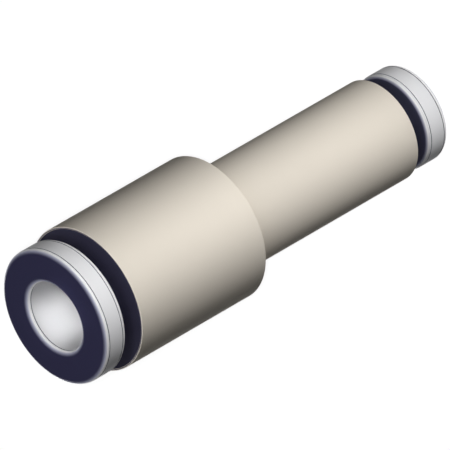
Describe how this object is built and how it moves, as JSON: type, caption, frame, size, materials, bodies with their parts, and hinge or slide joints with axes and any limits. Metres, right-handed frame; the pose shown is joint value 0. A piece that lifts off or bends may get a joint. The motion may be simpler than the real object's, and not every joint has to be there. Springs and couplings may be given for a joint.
{
  "type": "push-fit union",
  "caption": "Straight push-fit reducing union for plastic tube: a stepped round barrel with a flanged release button at either end.",
  "frame": {"origin": "centre of the small release button's front face, on which the union stands", "axes": "+Z along the bore, from the small end to the large end"},
  "size_m": [0.0126, 0.0126, 0.0408],
  "materials": {
    "barrel_plastic": "moulded cream PBT, satin gloss",
    "guide_plastic": "moulded navy acetal, satin",
    "button_plastic": "moulded light grey acetal, satin gloss, with navy flat faces",
    "collet_plastic": "moulded natural acetal, satin",
    "claw_steel": "stamped stainless spring steel, bright",
    "seal_rubber": "moulded nitrile rubber, matt"
  },
  "bodies": {
    "housing": {"body": "barrel_plastic", "large_guide_ring": "guide_plastic", "large_lip_seal": "seal_rubber", "small_guide_ring": "guide_plastic", "small_lip_seal": "seal_rubber"},
    "large_gripper": {"large_collet": "collet_plastic", "large_claw_ring": "claw_steel"},
    "large_button": {"large_release_button": "button_plastic"},
    "small_gripper": {"small_collet": "collet_plastic", "small_claw_ring": "claw_steel"},
    "small_button": {"small_release_button": "button_plastic"}
  },
  "joints": [
    {"name": "large_release", "type": "slide", "parent": "housing", "child": "large_gripper", "axis": [0, 0, -1], "range_m": [0, 0.0012], "stiffness_N_per_m": 2500},
    {"name": "large_button_spin", "type": "hinge", "parent": "large_gripper", "child": "large_button", "pos_m": [0, 0, 0.03963], "axis": [0, 0, 1], "continuous": true},
    {"name": "small_release", "type": "slide", "parent": "housing", "child": "small_gripper", "axis": [0, 0, 1], "range_m": [0, 0.0012], "stiffness_N_per_m": 2500},
    {"name": "small_button_spin", "type": "hinge", "parent": "small_gripper", "child": "small_button", "pos_m": [0, 0, 0.00118], "axis": [0, 0, 1], "continuous": true}
  ]
}
